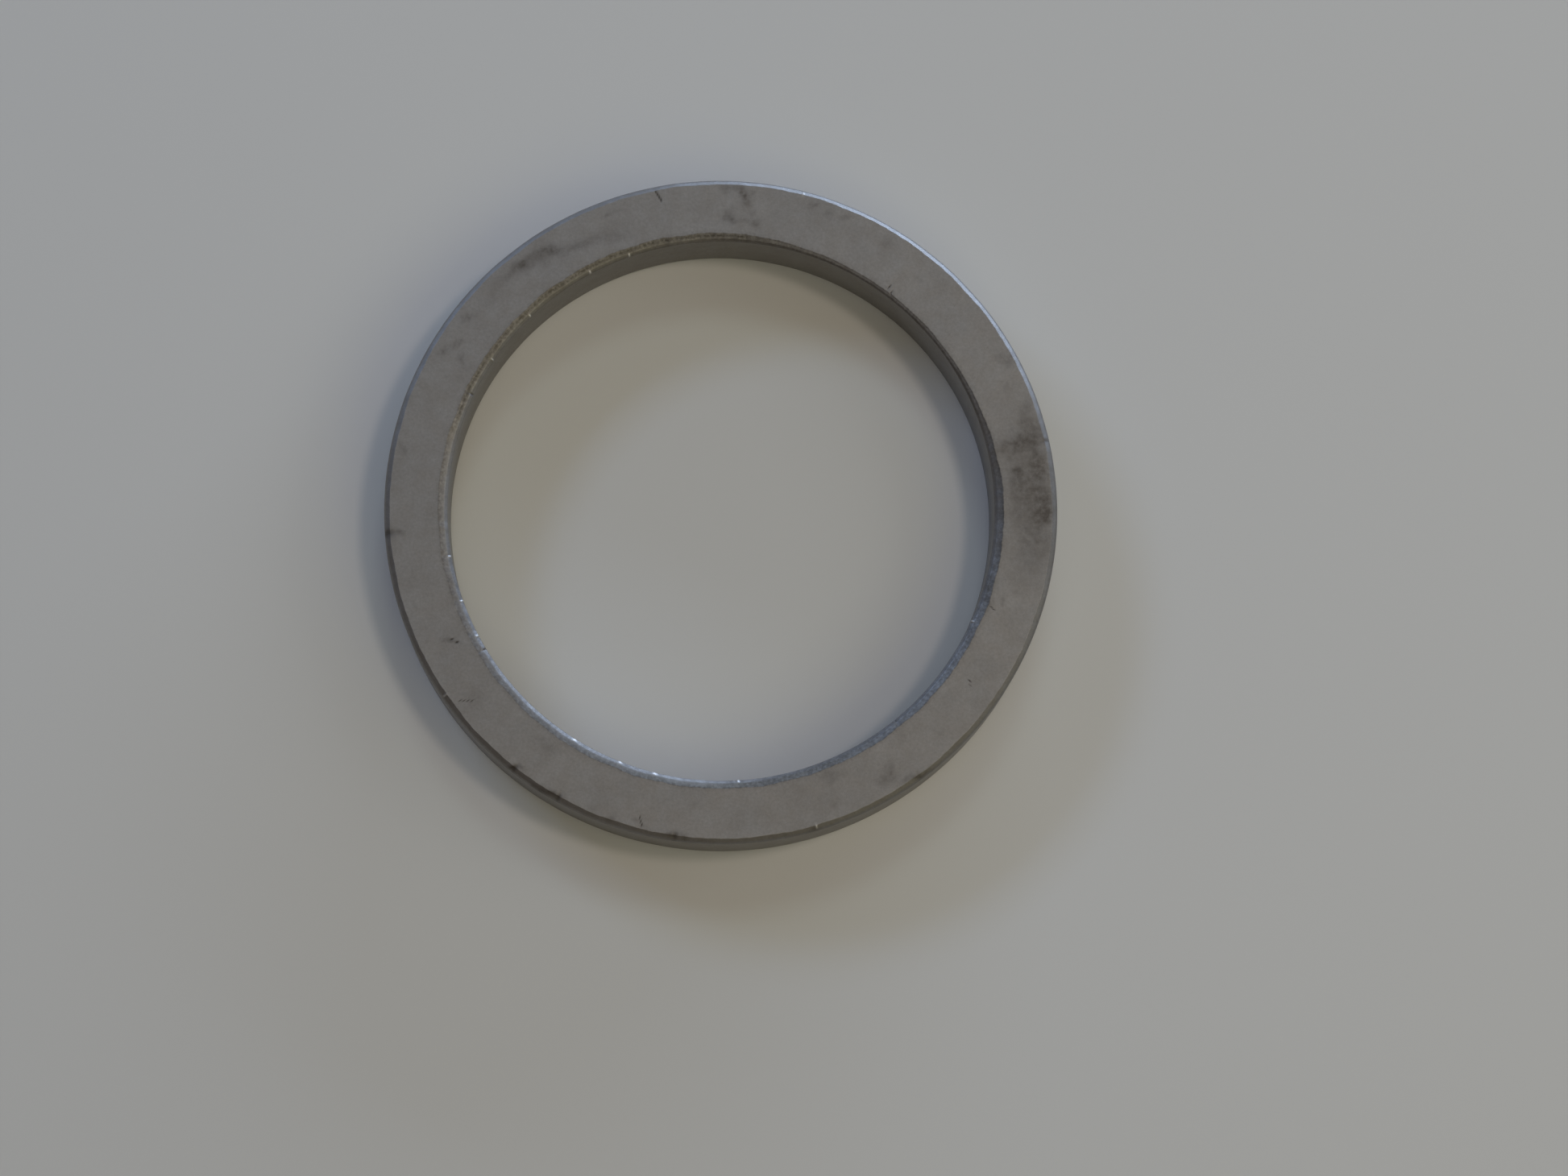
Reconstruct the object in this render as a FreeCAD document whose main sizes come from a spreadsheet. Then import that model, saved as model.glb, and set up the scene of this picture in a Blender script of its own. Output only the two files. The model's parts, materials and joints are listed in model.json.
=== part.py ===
import FreeCAD, Part
import os
import Sketcher

# A flat washer: one thick, narrow steel ring, turned to diameter and ground flat on both faces.
# Millimetres. The origin is the centre of the bore at the lower face, and +Z runs up along the axis.

OUTPUT_FOLDER = "parts"

# Driving dimensions: alias, value in millimetres and what it is.
DIMENSIONS = (
    ("outer_diameter", 50.8, "over the rim, 2 inches"),
    ("bore_diameter", 41.275, "bore wall, 1 5/8 inches"),
    ("thickness", 6.35, "face to face, 1/4 inch"),
    ("rim_break_width", 0.4, "chamfer on both rim edges, measured along the face"),
    ("rim_break_depth", 0.4, "the same chamfer, measured down the rim: 45 degrees"),
    ("bore_break_width", 0.65, "chamfer on both bore edges, measured along the face"),
    ("bore_break_depth", 0.375, "the same chamfer, measured down the bore: 30 degrees"),
)

# Sketcher's numbers for a line's ends, and for the sketch's own origin and horizontal axis.
LINE_START = 1
LINE_END = 2
SKETCH_AXIS = -1
ORIGIN_POINT = 1

FULL_TURN = 360


def add_dimension_sheet(doc):
    """The spreadsheet that drives every size: name, value and note on each row."""
    sheet = doc.addObject("Spreadsheet::Sheet", "Dimensions")
    for row, (alias, value, note) in enumerate(DIMENSIONS, start=1):
        sheet.set(f"A{row}", alias)
        sheet.set(f"B{row}", str(value))
        sheet.set(f"C{row}", note)
        sheet.setAlias(f"B{row}", alias)
    doc.recompute()
    return sheet


def origin_plane(body, role):
    """One of the body's own origin planes, found by its role."""
    for feature in body.Origin.OriginFeatures:
        if feature.Role == role:
            return feature
    raise ValueError(f"{body.Label} has no origin plane {role}")


def section_corners(sheet):
    """The ring's section as (radius, height) corners, anticlockwise from the bore side below."""
    rim = sheet.outer_diameter / 2
    bore = sheet.bore_diameter / 2
    top = sheet.thickness
    return [
        (bore + sheet.bore_break_width, 0),
        (rim - sheet.rim_break_width, 0),
        (rim, sheet.rim_break_depth),
        (rim, top - sheet.rim_break_depth),
        (rim - sheet.rim_break_width, top),
        (bore + sheet.bore_break_width, top),
        (bore, top - sheet.bore_break_depth),
        (bore, sheet.bore_break_depth),
    ]


def bind_distance(sketch, kind, name, first, second, expression):
    """Add a named distance between two sketch points and bind it to an expression."""
    start = sketch.getPoint(*first)
    end = sketch.getPoint(*second)
    gap = end.x - start.x if kind == "DistanceX" else end.y - start.y
    if gap < 0:
        first, second = second, first
    number = sketch.addConstraint(Sketcher.Constraint(kind, *first, *second, abs(gap)))
    sketch.renameConstraint(number, name)
    sketch.setExpression(f"Constraints.{name}", expression)


def draw_section(sketch, sheet):
    """Draw the closed eight-sided section and bind all its sizes to the sheet."""
    corners = [FreeCAD.Vector(radius, height, 0) for radius, height in section_corners(sheet)]
    count = len(corners)
    lines = []
    for index, corner in enumerate(corners):
        following = corners[(index + 1) % count]
        lines.append(sketch.addGeometry(Part.LineSegment(corner, following), False))
    for index, line in enumerate(lines):
        following = lines[(index + 1) % count]
        sketch.addConstraint(
            Sketcher.Constraint("Coincident", line, LINE_END, following, LINE_START)
        )

    lower_face, rim_low, rim_wall, rim_high, upper_face, bore_high, bore_wall, bore_low = lines
    for face in (lower_face, upper_face):
        sketch.addConstraint(Sketcher.Constraint("Horizontal", face))
    for wall in (rim_wall, bore_wall):
        sketch.addConstraint(Sketcher.Constraint("Vertical", wall))
    sketch.addConstraint(
        Sketcher.Constraint("PointOnObject", lower_face, LINE_START, SKETCH_AXIS)
    )

    origin = (SKETCH_AXIS, ORIGIN_POINT)
    sizes = (
        ("DistanceX", "RimRadius", rim_wall, "Dimensions.outer_diameter / 2"),
        ("DistanceX", "BoreRadius", bore_wall, "Dimensions.bore_diameter / 2"),
        ("DistanceY", "Thickness", upper_face, "Dimensions.thickness"),
    )
    for kind, name, line, expression in sizes:
        bind_distance(sketch, kind, name, origin, (line, LINE_START), expression)

    breaks = (
        ("RimLow", rim_low, "rim_break"),
        ("RimHigh", rim_high, "rim_break"),
        ("BoreHigh", bore_high, "bore_break"),
        ("BoreLow", bore_low, "bore_break"),
    )
    for name, line, alias in breaks:
        ends = ((line, LINE_START), (line, LINE_END))
        bind_distance(sketch, "DistanceX", f"{name}Width", *ends, f"Dimensions.{alias}_width")
        bind_distance(sketch, "DistanceY", f"{name}Depth", *ends, f"Dimensions.{alias}_depth")


def add_washer_ring(doc, sheet):
    """The ring: its section turned once round the axis, as a lathe makes it."""
    body = doc.addObject("PartDesign::Body", "washer_ring")
    body.Label = "washer_ring"

    section = body.newObject("Sketcher::SketchObject", "ring_section")
    section.AttachmentSupport = [(origin_plane(body, "XZ_Plane"), "")]
    section.MapMode = "FlatFace"
    doc.recompute()
    draw_section(section, sheet)
    doc.recompute()

    turned = body.newObject("PartDesign::Revolution", "turned_ring")
    turned.Profile = section
    turned.ReferenceAxis = (section, ["V_Axis"])
    turned.Angle = FULL_TURN
    doc.recompute()

    body.Placement = FreeCAD.Placement()
    return body


def check_document(doc, bodies):
    """Stop before anything is written if a feature failed or a shape isn't a sound solid."""
    for item in doc.Objects:
        if "Invalid" in item.State or "Error" in item.State:
            raise RuntimeError(f"{item.Name} failed: {item.State}")
    for body in bodies:
        if body.Shape.isNull() or not body.Shape.isValid():
            raise RuntimeError(f"{body.Label} has no valid shape")
        if len(body.Shape.Solids) != 1:
            raise RuntimeError(f"{body.Label} isn't one solid")


def export_bodies(bodies):
    """Write each body's shape to a STEP file named after its label."""
    os.makedirs(OUTPUT_FOLDER, exist_ok=True)
    for body in bodies:
        body.Shape.exportStep(f"{OUTPUT_FOLDER}/{body.Label}.step")
        box = body.Shape.BoundBox
        print(
            f"{body.Label}: {box.XLength:.3f} x {box.YLength:.3f} x {box.ZLength:.3f} mm,"
            f" volume {body.Shape.Volume:.1f} mm3"
        )


def main():
    doc = FreeCAD.newDocument("flat_washer")
    sheet = add_dimension_sheet(doc)
    bodies = [add_washer_ring(doc, sheet)]
    doc.recompute()
    check_document(doc, bodies)
    export_bodies(bodies)


main()
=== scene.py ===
import json
import math
from collections import namedtuple

import bpy
import numpy as np
from mathutils import Matrix, Vector


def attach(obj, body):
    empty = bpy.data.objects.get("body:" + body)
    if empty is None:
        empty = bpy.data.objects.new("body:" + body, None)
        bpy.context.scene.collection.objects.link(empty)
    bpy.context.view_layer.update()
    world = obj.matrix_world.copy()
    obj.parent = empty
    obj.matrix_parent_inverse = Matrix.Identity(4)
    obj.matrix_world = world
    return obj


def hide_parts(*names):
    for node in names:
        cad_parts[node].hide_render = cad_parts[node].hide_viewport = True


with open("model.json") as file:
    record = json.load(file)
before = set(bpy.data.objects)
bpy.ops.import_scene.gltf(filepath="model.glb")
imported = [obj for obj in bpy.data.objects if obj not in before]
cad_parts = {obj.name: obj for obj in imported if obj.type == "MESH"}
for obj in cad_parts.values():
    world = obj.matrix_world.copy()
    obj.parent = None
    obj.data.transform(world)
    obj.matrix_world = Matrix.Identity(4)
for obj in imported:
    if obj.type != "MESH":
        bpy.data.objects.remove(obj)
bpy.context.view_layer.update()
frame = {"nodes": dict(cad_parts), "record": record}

# One flat steel washer: a thick, narrow ring with ground faces, turned walls and hand-broken edges.
# Everything on the ring is in millimetres, because that is how such a part is measured, and is turned
# into metres when the mesh is written. The floor and the softboxes are in metres. Angles in the tables
# are in degrees, anticlockwise from +X seen from above, and the functions work in radians.

MM = 0.001
NODE = "washer_ring"
BODY = "root"
SEED = 352


# ---------------------------------------------------------------- sizes read from the frame

# rim, bore and the two edges of the face are radii. top is the thickness, and rim_low and bore_low
# are the heights where the walls begin above the lower edge breaks.
Ring = namedtuple("Ring", "rim bore top face_inner face_outer rim_low bore_low")

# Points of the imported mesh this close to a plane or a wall, in millimetres, lie on it.
TOUCH = 0.02


def read_ring():
    """The ring's radii and heights in millimetres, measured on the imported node."""
    points = [vertex.co / MM for vertex in frame["nodes"][NODE].data.vertices]
    radii = np.array([math.hypot(point.x, point.y) for point in points])
    heights = np.array([point.z for point in points])
    top = heights.max()
    rim = radii.max()
    bore = next(m for m in frame["record"]["mounts"] if m["name"] == "bore")["dims"]["r_mm"]
    face_radii = radii[heights > top - TOUCH]
    return Ring(
        rim=rim,
        bore=bore,
        top=top,
        face_inner=face_radii.min(),
        face_outer=face_radii.max(),
        rim_low=heights[radii > rim - TOUCH].min(),
        bore_low=heights[radii < bore + TOUCH].min(),
    )


ring = read_ring()


# ---------------------------------------------------------------- the ring's section

Corner = namedtuple("Corner", "radius height fillet")

# Where the edge breaks bend, as shares of their width and depth from the face corner. Both were
# broken by hand, so they are slightly crowned: flatter beside the face and steeper beside the wall.
BORE_CROWN = (0.66, 0.47)
RIM_CROWN = (0.72, 0.56)

# Radii that round the section's corners, each with a curve close to an arc. On a short side, a curve
# takes up no more than ARC_SHARE of it.
FACE_FILLET = 0.05
INNER_FACE_FILLET = 0.10
CROWN_FILLET = 0.35
WALL_FILLET = 0.07
ARC_SHARE = 0.45
ARC_STEPS = 3

# Spacing of the points along the section. Each line also has a point HOLD from its ends, which keeps
# the smooth shading of an edge from spreading over the flat beside it.
FACE_STEP = 0.24
WALL_STEP = 1.6
HOLD = 0.04

# Points within this distance of a wall or a face edge count as on it.
ON_LINE = 0.01


def upper_corners():
    """Corners of the upper half of the section, from the rim wall over the face to the bore wall."""
    rim_width = ring.rim - ring.face_outer
    rim_depth = ring.rim_low
    bore_width = ring.face_inner - ring.bore
    bore_depth = ring.bore_low
    rim_across, rim_down = RIM_CROWN
    bore_across, bore_down = BORE_CROWN
    return [
        Corner(ring.rim, ring.top - rim_depth, WALL_FILLET),
        Corner(
            ring.face_outer + rim_across * rim_width, ring.top - rim_down * rim_depth, CROWN_FILLET
        ),
        Corner(ring.face_outer, ring.top, FACE_FILLET),
        Corner(ring.face_inner, ring.top, INNER_FACE_FILLET),
        Corner(
            ring.face_inner - bore_across * bore_width, ring.top - bore_down * bore_depth, CROWN_FILLET
        ),
        Corner(ring.bore, ring.top - bore_depth, WALL_FILLET),
    ]


def fillet_points(before, corner, after):
    """Points of the curve that rounds one corner of the section."""
    here = np.array(corner[:2])
    to_before = np.array(before[:2]) - here
    to_after = np.array(after[:2]) - here
    room = min(np.linalg.norm(to_before), np.linalg.norm(to_after))
    to_before /= np.linalg.norm(to_before)
    to_after /= np.linalg.norm(to_after)
    turn = math.pi - math.acos(np.clip(to_before @ to_after, -1, 1))
    tangent = min(corner.fillet * math.tan(turn / 2), room * ARC_SHARE)
    start = here + to_before * tangent
    end = here + to_after * tangent
    points = []
    for step in range(ARC_STEPS + 1):
        share = step / ARC_STEPS
        points.append((1 - share) ** 2 * start + 2 * share * (1 - share) * here + share**2 * end)
    return points


def filled_line(start, end, step):
    """Points strictly between two ends: one close to each end, and even steps between those."""
    length = np.linalg.norm(end - start)
    if length < 3 * HOLD:
        return []
    direction = (end - start) / length
    first = start + direction * HOLD
    last = end - direction * HOLD
    count = max(1, math.ceil((length - 2 * HOLD) / step))
    return [first + (last - first) * index / count for index in range(count + 1)]


def section_outline():
    """The closed section as an array of (radius, height), from the rim over the top and back."""
    upper = upper_corners()
    lower = [Corner(c.radius, ring.top - c.height, c.fillet) for c in reversed(upper)]
    corners = upper + lower
    count = len(corners)
    arcs = [
        fillet_points(corners[index - 1], corners[index], corners[(index + 1) % count])
        for index in range(count)
    ]
    outline = []
    for index, arc in enumerate(arcs):
        following = arcs[(index + 1) % count]
        upright = abs(corners[index].radius - corners[(index + 1) % count].radius) < ON_LINE
        step = WALL_STEP if upright else FACE_STEP
        outline.extend(arc)
        outline.extend(filled_line(arc[-1], following[0], step))
    return np.array(outline)


# ---------------------------------------------------------------- marks of handling and use

# A nick is a small dent across an edge. edge names the corner that it is on, along is its length
# round the ring and depth how far it goes in, both in millimetres.
Nick = namedtuple("Nick", "angle edge along depth")
NICKS = (
    Nick(184.5, "rim", 0.50, 0.05),
    Nick(232, "rim", 0.35, 0.05),
    Nick(241, "rim", 0.30, 0.05),
    Nick(262, "rim", 0.30, 0.04),
    Nick(306, "rim", 0.40, 0.04),
    Nick(12, "rim", 0.30, 0.03),
    Nick(211.3, "bore", 0.18, 0.05),
    Nick(309, "bore", 0.25, 0.05),
    Nick(155.2, "bore", 0.16, 0.05),
)

# A burr is a crumb of bright metal still standing on the bore's inner corner, or on the rim. Its
# bright colour is partly fresh metal and partly a painted glint.
Burr = namedtuple("Burr", "angle edge along height")
BURRS = (
    Burr(335.6, "bore", 0.16, 0.07),
    Burr(273.4, "bore", 0.20, 0.07),
    Burr(256, "bore", 0.35, 0.05),
    Burr(248.5, "bore", 0.30, 0.05),
    Burr(238, "bore", 0.35, 0.05),
    Burr(208, "bore", 0.16, 0.05),
    Burr(200, "bore", 0.14, 0.04),
    Burr(190.3, "bore", 0.14, 0.04),
    Burr(146.7, "bore", 0.12, 0.05),
    Burr(134.5, "bore", 0.14, 0.05),
    Burr(118.8, "bore", 0.18, 0.08),
    Burr(109.8, "bore", 0.16, 0.08),
    Burr(286.4, "rim", 0.14, 0.06),
    Burr(214.6, "rim", 0.14, 0.05),
    Burr(75.6, "rim", 0.16, 0.06),
)

# A scratch is a groove in the upper face, from one (angle, radius) to another, so wide and so deep.
Scratch = namedtuple("Scratch", "start end width depth")
SCRATCHES = (
    Scratch((101.6, 24.95), (100.9, 24.15), 0.13, 0.020),
    Scratch((52.0, 20.95), (53.3, 21.35), 0.08, 0.020),
    Scratch((324.2, 23.0), (325.4, 22.6), 0.07, 0.012),
    Scratch((206.2, 22.6), (207.8, 22.2), 0.08, 0.012),
    Scratch((255.4, 24.2), (256.2, 24.8), 0.08, 0.010),
    Scratch((218.5, 23.6), (216.6, 24.6), 0.05, 0.006),
    Scratch((339.2, 22.0), (339.9, 21.5), 0.07, 0.010),
)

# A stain is a dull, darker patch: its middle, its length along its own long axis, its width, how
# far that axis leans out from the ring's own direction, and its strength.
Stain = namedtuple("Stain", "angle radius length width lean strength")
STAINS = (
    Stain(5, 23.3, 8.6, 4.4, 0, 0.34),
    Stain(0.5, 24.2, 4.8, 2.0, 0, 0.50),
    Stain(358.5, 24.3, 1.4, 1.8, 0, 0.30),
    Stain(352, 23.6, 4.4, 3.4, 0, 0.26),
    Stain(4, 22.5, 4.2, 1.3, 0, 0.30),
    Stain(12.4, 23.4, 1.3, 3.6, 0, 0.55),
    Stain(15.6, 24.2, 1.8, 1.9, 0, 0.40),
    Stain(8, 22.25, 1.7, 0.3, 0, 0.45),
    Stain(8.5, 24.2, 2.0, 1.6, 0, 0.45),
    Stain(19, 24.6, 1.6, 0.8, 0, 0.30),
    Stain(23.5, 23.7, 0.6, 0.7, 0, 0.20),
    Stain(28, 24.6, 1.1, 0.75, 0, 0.45),
    Stain(28.9, 23.8, 0.5, 0.4, 0, 0.30),
    Stain(50, 23.4, 0.5, 0.3, 0, 0.35),
    Stain(58.5, 24.2, 1.4, 1.2, 0, 0.22),
    Stain(67, 24.45, 0.8, 0.6, 0, 0.42),
    Stain(69.8, 24.25, 0.55, 0.5, 0, 0.38),
    Stain(73.1, 24.45, 0.8, 0.6, 0, 0.42),
    Stain(84.6, 24.5, 0.7, 0.5, 0, 0.40),
    Stain(86.4, 24.15, 2.1, 0.7, 42, 0.85),
    Stain(84, 22.25, 1.2, 0.7, 40, 0.60),
    Stain(87.7, 22.8, 0.75, 0.6, 0, 0.60),
    Stain(89.5, 24.5, 0.6, 1.0, 20, 0.40),
    Stain(110.6, 24.1, 0.9, 0.5, 0, 0.50),
    Stain(108.5, 23.9, 0.8, 0.4, 0, 0.22),
    Stain(112, 22.7, 5.0, 0.8, 12, 0.20),
    Stain(118.5, 23.1, 3.2, 1.0, 15, 0.36),
    Stain(123, 23.6, 1.8, 0.7, 25, 0.56),
    Stain(127.6, 23.9, 3.2, 1.2, 10, 0.54),
    Stain(130, 24.2, 1.4, 0.9, 10, 0.40),
    Stain(135.5, 24.0, 3.0, 1.0, 0, 0.18),
    Stain(142.5, 23.9, 1.3, 0.4, 15, 0.50),
    Stain(148.3, 23.8, 0.9, 0.4, 20, 0.52),
    Stain(151, 24.3, 0.9, 0.5, 15, 0.52),
    Stain(149.8, 22.25, 0.6, 0.5, 0, 0.40),
    Stain(169.8, 24.6, 0.5, 0.35, 0, 0.35),
    Stain(184.6, 24.6, 0.9, 0.6, -25, 0.60),
    Stain(198, 24.2, 1.0, 0.4, 15, 0.25),
    Stain(206.9, 22.4, 1.2, 0.4, -35, 0.45),
    Stain(217.5, 24.0, 1.4, 1.2, -30, 0.20),
    Stain(234, 22.3, 1.4, 0.5, -10, 0.20),
    Stain(246.7, 24.75, 0.5, 0.35, 0, 0.38),
    Stain(250.9, 24.5, 1.0, 0.45, 25, 0.48),
    Stain(255.8, 24.6, 0.9, 0.35, 50, 0.42),
    Stain(264, 22.6, 0.8, 0.3, 0, 0.20),
    Stain(290, 23.2, 9.0, 3.4, 0, 0.10),
    Stain(291, 23.9, 0.8, 0.6, 0, 0.22),
    Stain(291.5, 21.9, 1.5, 0.5, 0, 0.35),
    Stain(301.6, 24.0, 1.4, 1.2, 0, 0.38),
    Stain(302.8, 23.2, 0.6, 0.5, 0, 0.40),
    Stain(304, 24.8, 0.9, 0.5, 0, 0.42),
    Stain(313.7, 23.5, 0.7, 0.5, 0, 0.28),
    Stain(341.2, 22.4, 0.6, 0.45, 0, 0.55),
    Stain(339.2, 21.65, 1.0, 0.5, 0, 0.42),
    Stain(343.5, 22.9, 0.5, 0.9, 0, 0.20),
    # These six darken the rim's edge break at its nicks and at one burr: painted shade in the dents.
    Stain(184, 25.2, 1.6, 0.4, 0, 0.75),
    Stain(231, 25.2, 1.4, 0.4, 0, 0.95),
    Stain(239, 25.2, 2.4, 0.4, 0, 0.90),
    Stain(262, 25.2, 2.4, 0.4, 0, 0.75),
    Stain(286, 25.2, 1.0, 0.4, 0, 0.60),
    Stain(306, 25.2, 2.0, 0.4, 0, 0.80),
)

# Grime and painted shade along the bore's edge break: dark bands that stand for grime, for the shade
# under a rolled burr at the wall's corner and for dimmer reflections on the break. Each row gives
# where it starts and ends round the ring, where it lies across the break and how wide it is, as shares
# of the break's width from the wall, and its strength. It fades in and out over GRIME_AND_SHADE_ENDS
# degrees.
Grime = namedtuple("Grime", "start end across width strength")
GRIME_AND_SHADE = (
    Grime(0, 360, 0.95, 0.22, 0.50),
    Grime(0, 360, 0.68, 0.50, 0.25),
    Grime(80, 165, 0.66, 0.55, 0.66),
    Grime(165, 262, 0.66, 0.50, 0.38),
    Grime(270, 352, 0.55, 0.85, 0.50),
    Grime(188, 258, 0.20, 0.45, 0.36),
    Grime(338, 382, 0.62, 0.70, 0.36),
    Grime(18, 92, 0.40, 0.75, 0.42),
    Grime(92, 125, 0.05, 0.16, 0.20),
)
GRIME_AND_SHADE_ENDS = 12

# The bore's break was filed much narrower on one side: by how much, where, and over what angle.
NARROW_SHARE = 0.52
NARROW_ANGLE = 47
NARROW_REACH = 34

# Both breaks also wander round the ring, as sums of waves with so many periods in a turn, and each
# by such a share of its size. The metal beside a break gives way over BLEND millimetres.
SLOW_WAVES = (1, 2, 3, 5)
SLOW_WANDER = 0.07
QUICK_WAVES = (17, 29, 41, 67, 103, 151)
QUICK_WANDER = 0.05
BLEND = 1.0

# A mark on the rim sits so far out from the face's edge and so far down, and one on the bore so far
# from the wall and so far up from the foot of the break. A way out of the metal is a direction in the
# section, as radius and height, and a spread is how far a mark reaches over the section.
RIM_MARK_INSET = (0.12, 0.10)
BORE_MARK_INSET = (0.10, 0.08)
RIM_WAY_OUT = (0.6, 0.8)
BORE_WAY_OUT = (-0.55, 0.83)
NICK_SPREAD = 0.32
BURR_SPREAD = 0.14

# A nick this deep is as dark as a scratch, which is painted shade in the dent, and stains fade this
# quickly down the walls.
DARK_DEPTH = 0.10
STAIN_DEPTH = 0.7

# Stains lose their even shape by waves of these lengths. There are WARP_WAVES of each length in each
# direction, and each one moves a place by up to WARP_SHARE of its length.
WARP_SIZES = (3.0, 1.6, 0.9)
WARP_WAVES = 3
WARP_SHARE = 0.05

# How many stains the lower face has.
LOWER_STAINS = 26

# Steps round the ring: even ones, finer ones through each mark, and none closer than MIN_GAP. The
# steps through a scratch, and how far they run past its ends, are in widths of the scratch.
SEGMENTS = 512
FINE_LINES = 10
SCRATCH_REACH = 1.5
SCRATCH_STEP = 0.45
MIN_GAP = math.radians(0.02)

# Scratches cut only the metal that is within so many millimetres of the upper face.
SCRATCH_DROP = 0.2


def turn_between(angles, middle):
    """Signed angle from middle to each angle, in radians, between minus and plus pi."""
    return (angles - middle + math.pi) % (2 * math.pi) - math.pi


def ring_angles():
    """Even steps round the ring, with finer ones through every nick, burr and scratch."""
    angles = [np.linspace(0, 2 * math.pi, SEGMENTS, endpoint=False)]
    for mark in NICKS + BURRS:
        middle = math.radians(mark.angle)
        reach = mark.along / ring.bore
        angles.append(np.linspace(middle - reach, middle + reach, FINE_LINES))
    for scratch in SCRATCHES:
        first, last = sorted((scratch.start[0], scratch.end[0]))
        reach = scratch.width * SCRATCH_REACH / ring.bore
        low, high = math.radians(first) - reach, math.radians(last) + reach
        count = int((high - low) / (scratch.width * SCRATCH_STEP / ring.rim)) + 2
        angles.append(np.linspace(low, high, count))
    merged = np.sort(np.concatenate(angles) % (2 * math.pi))
    kept = [merged[0]]
    for angle in merged[1:]:
        if angle - kept[-1] > MIN_GAP:
            kept.append(angle)
    if kept[0] + 2 * math.pi - kept[-1] < MIN_GAP:
        kept.pop()
    return np.array(kept)


def smooth_wander(angles, rng, waves, amplitude):
    """A closed random curve round the ring: a sum of a few sines with random phases."""
    total = np.zeros_like(angles)
    for wave in waves:
        total += rng.normal() * np.cos(wave * angles + rng.uniform(0, 2 * math.pi))
    return amplitude * total / math.sqrt(len(waves))


def narrowing(angle):
    """The share of the bore's break that is left, round the ring."""
    turned = np.degrees(turn_between(angle, math.radians(NARROW_ANGLE))) / NARROW_REACH
    return 1 - NARROW_SHARE * np.exp(-(turned**4))


def rescale(distance, span, share):
    """Shrink or grow a span measured from a corner, and stretch the metal beyond it to meet."""
    within = distance * share
    beyond = span * share + (distance - span) * (1 + span * (1 - share) / BLEND)
    return np.where(distance < span, within, np.where(distance < span + BLEND, beyond, distance))


def vary_breaks(radius, height, angle, rng):
    """Let each edge break grow and shrink round the ring, as hand work does."""
    rim_width = ring.rim - ring.face_outer
    bore_width = ring.face_inner - ring.bore
    middle = ring.top / 2
    upper = height > middle
    for side in (upper, ~upper):
        slow = smooth_wander(angle, rng, SLOW_WAVES, SLOW_WANDER)
        quick = smooth_wander(angle, rng, QUICK_WAVES, QUICK_WANDER)
        share = 1 + slow + quick
        drop = np.where(side, np.where(upper, ring.top - height, height), 0)
        from_rim = rescale(ring.rim - radius, rim_width, share)
        radius = np.where(side & (radius > ring.face_outer - BLEND), ring.rim - from_rim, radius)
        rim_drop = rescale(drop, ring.rim_low, share)
        near_rim = side & (radius > ring.face_outer - rim_width)

        share = share * np.where(upper, narrowing(angle), 1)
        from_bore = rescale(radius - ring.bore, bore_width, share)
        radius = np.where(side & (radius < ring.face_inner + BLEND), ring.bore + from_bore, radius)
        bore_drop = rescale(drop, ring.bore_low, share)
        dropped = np.where(near_rim, rim_drop, bore_drop)
        height = np.where(side, np.where(upper, ring.top - dropped, dropped), height)
    return radius, height


def grime_and_shade_field(radius, height, angle):
    """How much grime and painted shade lie on the upper bore break, before the break is varied."""
    width = ring.face_inner - ring.bore
    across = (radius - ring.bore) / width
    on_break = height > ring.top - ring.bore_low - HOLD
    total = np.zeros_like(radius)
    for grime in GRIME_AND_SHADE:
        middle = math.radians((grime.start + grime.end) / 2)
        half = (grime.end - grime.start) / 2
        past_end = np.degrees(np.abs(turn_between(angle, middle))) - half
        ends = 1.0 if half >= 180 else np.clip(0.5 - past_end / GRIME_AND_SHADE_ENDS, 0, 1)
        share = np.exp(-(((across - grime.across) / (grime.width / 2)) ** 2))
        total = np.maximum(total, grime.strength * share * ends)
    return total * on_break


def edge_point(edge):
    """Where a nick or burr of the upper side sits: (radius, height), and the way out of the metal."""
    if edge == "rim":
        across, down = RIM_MARK_INSET
        return (ring.face_outer + across, ring.top - down), RIM_WAY_OUT
    across, up = BORE_MARK_INSET
    return (ring.bore + across, ring.top - ring.bore_low + up), BORE_WAY_OUT


def press_marks(radius, height, angle, on_wall):
    """Sink the nicks and raise the burrs, which stop at the walls. Also says what is fresh metal with
    a painted glint, and what is dark with painted shade in a nick.
    """
    fresh = np.zeros_like(radius)
    dark = np.zeros_like(radius)
    for mark in NICKS + BURRS:
        (at_radius, at_height), (out_radius, out_height) = edge_point(mark.edge)
        is_nick = isinstance(mark, Nick)
        spread = NICK_SPREAD if is_nick else BURR_SPREAD
        amount = -mark.depth if is_nick else mark.height
        sideways = turn_between(angle, math.radians(mark.angle)) * at_radius / (mark.along / 2)
        across = np.hypot(radius - at_radius, height - at_height) / spread
        share = np.where(on_wall, 0.0, np.exp(-(sideways**2) - across**2))
        radius = radius + amount * share * out_radius
        height = height + amount * share * out_height
        if is_nick:
            # A nick is darkened by its depth: painted shade in the dent.
            dark = np.maximum(dark, share * mark.depth / DARK_DEPTH)
        else:
            fresh = np.maximum(fresh, share)
    return radius, height, fresh, dark


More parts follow.
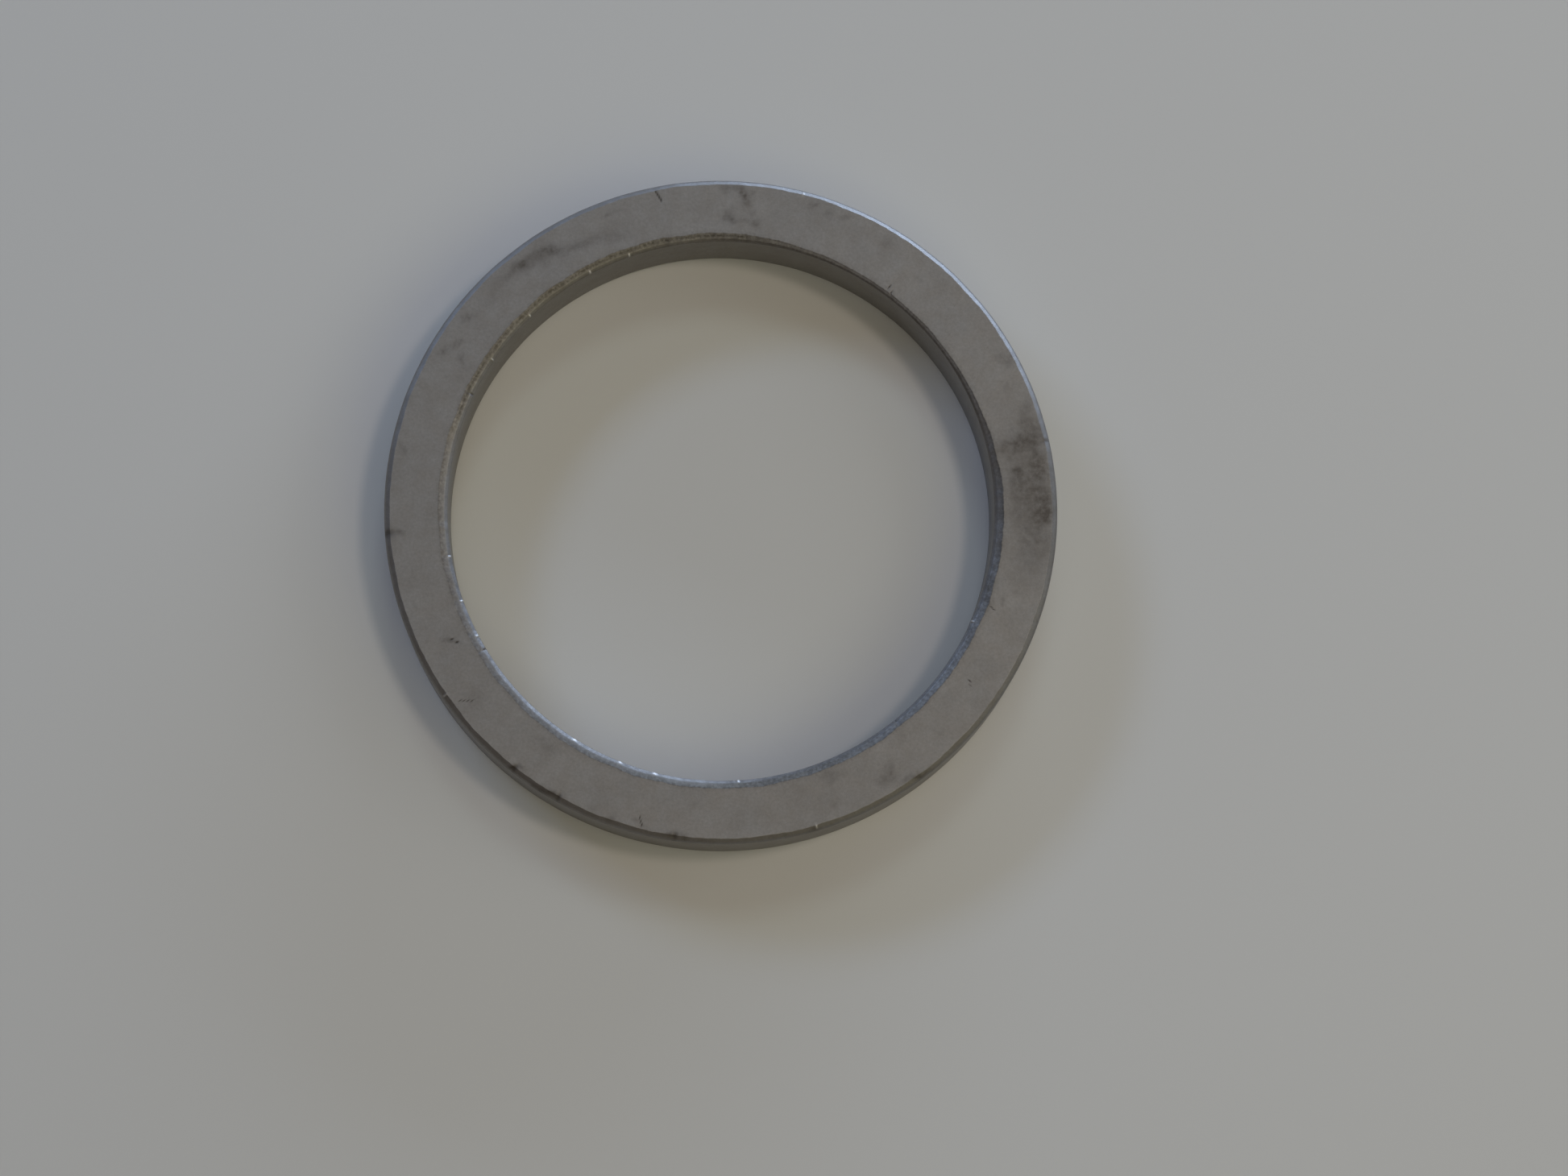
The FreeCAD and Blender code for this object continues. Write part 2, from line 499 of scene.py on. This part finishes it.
def cut_scratches(radius, height, angle):
    """Sink the scratches into the upper face. Returns the new heights and how deep each place is."""
    groove = np.zeros_like(height)
    on_face = height > ring.top - SCRATCH_DROP
    x = radius * np.cos(angle)
    y = radius * np.sin(angle)
    for scratch in SCRATCHES:
        ends = []
        for degrees, at_radius in (scratch.start, scratch.end):
            turn = math.radians(degrees)
            ends.append(np.array((at_radius * math.cos(turn), at_radius * math.sin(turn))))
        run = ends[1] - ends[0]
        length = np.linalg.norm(run)
        along = ((x - ends[0][0]) * run[0] + (y - ends[0][1]) * run[1]) / length**2
        nearest = np.clip(along, 0, 1)
        gap = np.hypot(x - ends[0][0] - nearest * run[0], y - ends[0][1] - nearest * run[1])
        share = np.exp(-((gap / (scratch.width / 2)) ** 2)) * on_face
        height = height - scratch.depth * share
        groove = np.maximum(groove, share)
    return height, groove


def warp(radius, angle, rng):
    """Shift places on the faces by a smooth random amount, so that stains lose their even shape."""
    x = radius * np.cos(angle)
    y = radius * np.sin(angle)
    push = [np.zeros_like(x), np.zeros_like(x)]
    for size in WARP_SIZES:
        for index in range(2):
            for _ in range(WARP_WAVES):
                heading = rng.uniform(0, 2 * math.pi)
                phase = rng.uniform(0, 2 * math.pi)
                along = (x * math.cos(heading) + y * math.sin(heading)) * 2 * math.pi / size
                push[index] += WARP_SHARE * size * np.sin(along + phase)
    return radius + push[0], angle + push[1] / radius


def stain_field(radius, angle, stains):
    """How stained each place on a face is, from 0 to about 1."""
    total = np.zeros_like(radius)
    for stain in stains:
        along = turn_between(angle, math.radians(stain.angle)) * stain.radius
        across = radius - stain.radius
        lean = math.radians(stain.lean)
        long_way = along * math.cos(lean) + across * math.sin(lean)
        short_way = across * math.cos(lean) - along * math.sin(lean)
        size = (long_way / (stain.length / 2)) ** 2 + (short_way / (stain.width / 2)) ** 2
        total = total + stain.strength * np.exp(-size)
    return total


def random_stains(rng, count):
    """Stains for the lower face, of the same kind as those above."""
    stains = []
    for _ in range(count):
        stains.append(
            Stain(
                angle=rng.uniform(0, 360),
                radius=rng.uniform(21.5, 24.8),
                length=rng.uniform(0.5, 3.0),
                width=rng.uniform(0.5, 1.2),
                lean=rng.uniform(-60, 60),
                strength=rng.uniform(0.2, 0.6),
            )
        )
    return stains


# ---------------------------------------------------------------- the mesh


def marked_surface():
    """The section turned round the axis and marked: its points in metres, and its surface layers."""
    rng = np.random.default_rng(SEED)
    outline = section_outline()
    angles = ring_angles()
    angle, radius = np.meshgrid(angles, outline[:, 0], indexing="ij")
    height = np.tile(outline[:, 1], (len(angles), 1))

    on_top = height > ring.top / 2
    on_wall = (radius <= ring.bore + ON_LINE) | (radius >= ring.rim - ON_LINE)
    on_face = (radius > ring.face_inner - ON_LINE) & (radius < ring.face_outer + ON_LINE)

    lower_stains = random_stains(rng, LOWER_STAINS)
    warped = warp(radius, angle, rng)
    stain = np.where(on_top, stain_field(*warped, STAINS), stain_field(*warped, lower_stains))
    stain = stain * np.exp(-np.minimum(height, ring.top - height) / STAIN_DEPTH)
    grime = grime_and_shade_field(radius, height, angle)
    radius, height = vary_breaks(radius, height, angle, rng)
    radius, height, fresh, dark = press_marks(radius, height, angle, on_wall)
    height, groove = cut_scratches(radius, height, angle)
    radius = np.minimum(radius, ring.rim)
    height = np.clip(height, 0.0, ring.top)

    points = np.stack((radius * np.cos(angle), radius * np.sin(angle), height), axis=-1) * MM
    layers = {
        "stain": stain,
        "grime": grime,
        "fresh": fresh,
        "groove": np.maximum(groove, dark),
        "turned": on_wall,
        "filed": ~on_wall & ~on_face,
    }
    return points, layers


def closed_quads(rows, columns):
    """Faces of a grid of points that closes on itself both ways, as corner numbers."""
    grid = np.arange(rows * columns).reshape(rows, columns)
    ahead = np.roll(grid, -1, axis=0)
    corners = (grid, np.roll(grid, -1, axis=1), np.roll(ahead, -1, axis=1), ahead)
    return np.stack(corners, axis=-1).reshape(-1, 4)


def build_ring_mesh():
    """The washer's mesh, with its surface layers as attributes that the material reads."""
    points, layers = marked_surface()
    quads = closed_quads(*points.shape[:2])
    mesh = bpy.data.meshes.new("flat_washer")
    mesh.from_pydata(points.reshape(-1, 3).tolist(), [], quads.tolist())
    mesh.validate()
    mesh.shade_smooth()
    for name, values in layers.items():
        layer = mesh.attributes.new(name, "FLOAT", "POINT")
        layer.data.foreach_set("value", values.astype(np.float32).ravel())
    mesh.update()
    return mesh


# ---------------------------------------------------------------- the steel


class Nodes:
    """A short way to write a node tree: each call adds a node, sets it and links its inputs."""

    def __init__(self, tree):
        self.tree = tree
        tree.nodes.clear()

    def add(self, kind, settings=None, **inputs):
        node = self.tree.nodes.new(kind)
        for name, value in (settings or {}).items():
            setattr(node, name, value)
        for name, value in inputs.items():
            self.feed(node, name.replace("_", " "), value)
        return node

    def feed(self, node, name, value):
        self.fill(node.inputs[int(name)] if name.isdigit() else node.inputs[name], value)

    def fill(self, socket, value):
        """Link a socket to another node's output, or set it to a plain value."""
        if isinstance(value, bpy.types.NodeSocket):
            self.tree.links.new(value, socket)
        else:
            socket.default_value = value

    def math(self, operation, first, second=0.0, clamp=False):
        node = self.add("ShaderNodeMath", {"operation": operation, "use_clamp": clamp})
        self.feed(node, "0", first)
        self.feed(node, "1", second)
        return node.outputs[0]

    def attribute(self, name):
        node = self.add("ShaderNodeAttribute", {"attribute_name": name})
        return node.outputs["Fac"]

    def noise(self, vector, size_mm, detail, roughness=0.55):
        """Smooth noise whose lumps are about size_mm across."""
        node = self.add(
            "ShaderNodeTexNoise",
            Vector=vector,
            Scale=1 / (size_mm * MM),
            Detail=detail,
            Roughness=roughness,
        )
        return node.outputs["Fac"]

    def spread(self, value, low, high, to_low=0.0, to_high=1.0):
        """Map a range of values onto another, and clamp."""
        node = self.add("ShaderNodeMapRange", {"clamp": True})
        names = ("Value", "From Min", "From Max", "To Min", "To Max")
        for name, given in zip(names, (value, low, high, to_low, to_high)):
            self.feed(node, name, given)
        return node.outputs["Result"]

    def mix(self, share, first, second, kind="RGBA"):
        """Mix two colours, or two numbers where kind is FLOAT."""
        node = self.add("ShaderNodeMix", {"data_type": kind})
        for name, value in (("Factor", share), ("A", first), ("B", second)):
            socket = next(s for s in node.inputs if s.name == name and s.enabled)
            self.fill(socket, value)
        return next(s for s in node.outputs if s.enabled)


STEEL_CLEAN = (0.312, 0.306, 0.300, 1)
STEEL_WARM = (0.284, 0.272, 0.259, 1)
STEEL_STAINED = (0.140, 0.124, 0.110, 1)
STEEL_FRESH_GLINT = (0.75, 0.74, 0.72, 1)
GRIME_AND_SHADE_DARK = (0.044, 0.036, 0.027, 1)
GRAIN_DARK = (0.15, 0.142, 0.134, 1)
GRAIN = 0.22

# Roughness of the clean face, and what a filed or fresh place and a full stain add to it.
STEEL_ROUGHNESS = 0.60
FILED_SMOOTHER = -0.08
STAIN_DULLER = 0.08

# The fine relief of the surface. On the walls its noise is stretched level by TURNED_SQUEEZE, which
# leaves it as lines that run round them.
BUMP_STRENGTH = 0.35
BUMP_HEIGHT = 0.004
TURNED_SQUEEZE = (0.02, 0.02, 1.0)


def steel_colour(nodes, place):
    """Warm grey steel, mottled, darker where it is stained, with grime and painted shade on the bore
    break and painted shade in the nicks, and bright where a burr is fresh, partly a painted glint.
    """
    mottle = nodes.noise(place, size_mm=1.6, detail=5, roughness=0.65)
    colour = nodes.mix(nodes.spread(mottle, low=0.35, high=0.65), STEEL_CLEAN, STEEL_WARM)
    speckle = nodes.noise(place, size_mm=0.45, detail=4, roughness=0.6)
    patchy = nodes.spread(speckle, low=0.3, high=0.7, to_low=0.60, to_high=1.40)
    stain = nodes.math("MULTIPLY", nodes.attribute("stain"), patchy, clamp=True)
    colour = nodes.mix(stain, colour, STEEL_STAINED)
    grain = nodes.spread(nodes.noise(place, size_mm=0.22, detail=2), low=0.3, high=0.7)
    colour = nodes.mix(nodes.math("MULTIPLY", grain, GRAIN), colour, GRAIN_DARK)
    breaks = nodes.noise(place, size_mm=0.22, detail=3)
    ragged = nodes.spread(breaks, low=0.3, high=0.6, to_low=0.55, to_high=1.20)
    # Grime and painted shade on the bore break: the dark line under a rolled burr at the wall's
    # corner, and dimmed reflections of the break.
    grime = nodes.math("MULTIPLY", nodes.attribute("grime"), ragged, clamp=True)
    dark = nodes.math("MAXIMUM", grime, nodes.attribute("groove"))
    colour = nodes.mix(dark, colour, GRIME_AND_SHADE_DARK)
    # Burrs are painted bright: fresh metal with a painted glint.
    return nodes.mix(nodes.attribute("fresh"), colour, STEEL_FRESH_GLINT), stain


def steel_roughness(nodes, place, stain):
    """Satin, a little duller where stained, with fine uneven patches from handling."""
    wide = nodes.noise(place, size_mm=2.5, detail=3)
    patches = nodes.spread(wide, low=0.3, high=0.7, to_low=-0.03, to_high=0.03)
    narrow = nodes.noise(place, size_mm=0.12, detail=2)
    fine = nodes.spread(narrow, low=0.3, high=0.7, to_low=-0.04, to_high=0.04)
    dulled = nodes.math("MULTIPLY", stain, STAIN_DULLER)
    total = nodes.math("ADD", nodes.math("ADD", patches, fine), dulled)
    bright = nodes.math("MAXIMUM", nodes.attribute("fresh"), nodes.attribute("filed"))
    total = nodes.math("ADD", total, nodes.math("MULTIPLY", bright, FILED_SMOOTHER))
    return nodes.math("ADD", total, STEEL_ROUGHNESS, clamp=True)


def steel_bump(nodes, place):
    """Fine lapping marks on the faces, and turning lines round the walls."""
    ground = nodes.noise(place, size_mm=0.10, detail=3, roughness=0.65)
    stretched = nodes.add("ShaderNodeMapping", Vector=place, Scale=TURNED_SQUEEZE)
    lines = nodes.noise(stretched.outputs[0], size_mm=0.06, detail=2)
    surface = nodes.mix(nodes.attribute("turned"), ground, lines, kind="FLOAT")
    bump = nodes.add(
        "ShaderNodeBump", Strength=BUMP_STRENGTH, Distance=BUMP_HEIGHT * MM, Height=surface
    )
    return bump.outputs["Normal"]


def make_steel():
    material = bpy.data.materials.new("ground_steel")
    material.use_nodes = True
    nodes = Nodes(material.node_tree)
    place = nodes.add("ShaderNodeTexCoord").outputs["Object"]
    colour, stain = steel_colour(nodes, place)
    shader = nodes.add(
        "ShaderNodeBsdfPrincipled",
        Base_Color=colour,
        Metallic=1.0,
        Roughness=steel_roughness(nodes, place, stain),
        Normal=steel_bump(nodes, place),
    )
    nodes.add("ShaderNodeOutputMaterial", Surface=shader.outputs[0])
    return material


# ---------------------------------------------------------------- floor, light and camera

# The floor is a square with sides of this length.
FLOOR_SIZE = 3.0
FLOOR_COLOUR = (0.62, 0.62, 0.61, 1)
FLOOR_ROUGHNESS = 0.6

# A softbox shines at the ring from an azimuth (0 is +X, 90 is +Y) and an elevation. Its width and
# tallness are the angles that it fills as the ring sees it, all in degrees, and brightness is in
# W/m2/sr. All of them stand SOFTBOX_DISTANCE metres away.
Softbox = namedtuple("Softbox", "name azimuth elevation width tallness brightness colour")
SOFTBOXES = (
    Softbox("lamp", 12, 70.5, 7, 7, 21.5, (1.0, 0.85, 0.72)),
    Softbox("tall_window", 85, 52, 14, 12, 3.7, (0.84, 1.0, 1.0)),
    Softbox("cool_window", 133, 31, 22, 9, 12.0, (0.46, 0.64, 0.98)),
    Softbox("low_window", 61, 8, 54, 14, 9.2, (0.58, 0.73, 1.0)),
    Softbox("right_side", 5, 32, 34, 22, 1.20, (0.90, 0.96, 1.0)),
    Softbox("room_side", 318, 48, 50, 34, 0.76, (1.0, 0.95, 0.58)),
    Softbox("overhead", 250, 72, 40, 30, 0.46, (0.95, 0.98, 1.0)),
)
SOFTBOX_DISTANCE = 0.8
WORLD_COLOUR = (0.104, 0.084, 0.067, 1)
WORLD_STRENGTH = 1.0

# The camera looks down at a point in the plane of the upper face, from so many millimetres away. It is
# tilted by CAMERA_TILT degrees about a level axis, which lies at CAMERA_TILT_AXIS degrees.
CAMERA_LENS = 102.0
CAMERA_SENSOR = 36.0
CAMERA_CLIP = 0.01
CAMERA_AIM = (4.7, -6.1)
CAMERA_DISTANCE = 334.1
CAMERA_TILT = 8.85
CAMERA_TILT_AXIS = -10.3


def make_floor():
    half = FLOOR_SIZE / 2
    mesh = bpy.data.meshes.new("floor")
    corners = [(-half, -half, 0), (half, -half, 0), (half, half, 0), (-half, half, 0)]
    mesh.from_pydata(corners, [], [(0, 1, 2, 3)])
    material = bpy.data.materials.new("pale_floor")
    material.use_nodes = True
    shader = material.node_tree.nodes["Principled BSDF"]
    shader.inputs["Base Color"].default_value = FLOOR_COLOUR
    shader.inputs["Roughness"].default_value = FLOOR_ROUGHNESS
    mesh.materials.append(material)
    floor = bpy.data.objects.new("floor", mesh)
    bpy.context.scene.collection.objects.link(floor)


def make_softbox(box):
    light = bpy.data.lights.new(box.name, "AREA")
    light.shape = "RECTANGLE"
    light.size = 2 * SOFTBOX_DISTANCE * math.tan(math.radians(box.width / 2))
    light.size_y = 2 * SOFTBOX_DISTANCE * math.tan(math.radians(box.tallness / 2))
    light.energy = math.pi * light.size * light.size_y * box.brightness
    light.color = box.colour
    lamp = bpy.data.objects.new(box.name, light)
    around = math.radians(box.azimuth)
    up = math.radians(box.elevation)
    away = Vector((math.cos(around) * math.cos(up), math.sin(around) * math.cos(up), math.sin(up)))
    lamp.location = away * SOFTBOX_DISTANCE
    lamp.rotation_euler = (-away).to_track_quat("-Z", "Y").to_euler()
    bpy.context.scene.collection.objects.link(lamp)


def make_world():
    world = bpy.data.worlds.new("studio")
    world.use_nodes = True
    background = world.node_tree.nodes["Background"]
    background.inputs["Color"].default_value = WORLD_COLOUR
    background.inputs["Strength"].default_value = WORLD_STRENGTH
    bpy.context.scene.world = world


def make_camera():
    data = bpy.data.cameras.new("camera")
    data.lens = CAMERA_LENS
    data.sensor_width = CAMERA_SENSOR
    data.clip_start = CAMERA_CLIP
    camera = bpy.data.objects.new("camera", data)
    turn = math.radians(CAMERA_TILT_AXIS)
    axis = Vector((math.cos(turn), math.sin(turn), 0))
    tilt = Matrix.Rotation(math.radians(CAMERA_TILT), 3, axis)
    aim = Vector((*CAMERA_AIM, ring.top)) * MM
    back = tilt @ Vector((0, 0, 1))
    camera.location = aim + back * CAMERA_DISTANCE * MM
    camera.rotation_euler = tilt.to_euler()
    bpy.context.scene.collection.objects.link(camera)
    bpy.context.scene.camera = camera


def make_washer():
    washer = bpy.data.objects.new("flat_washer", build_ring_mesh())
    washer.data.materials.append(make_steel())
    bpy.context.scene.collection.objects.link(washer)
    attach(washer, BODY)
    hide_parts(NODE)


make_world()
make_floor()
for box in SOFTBOXES:
    make_softbox(box)
make_camera()
make_washer()
bpy.context.scene.view_settings.view_transform = "Standard"
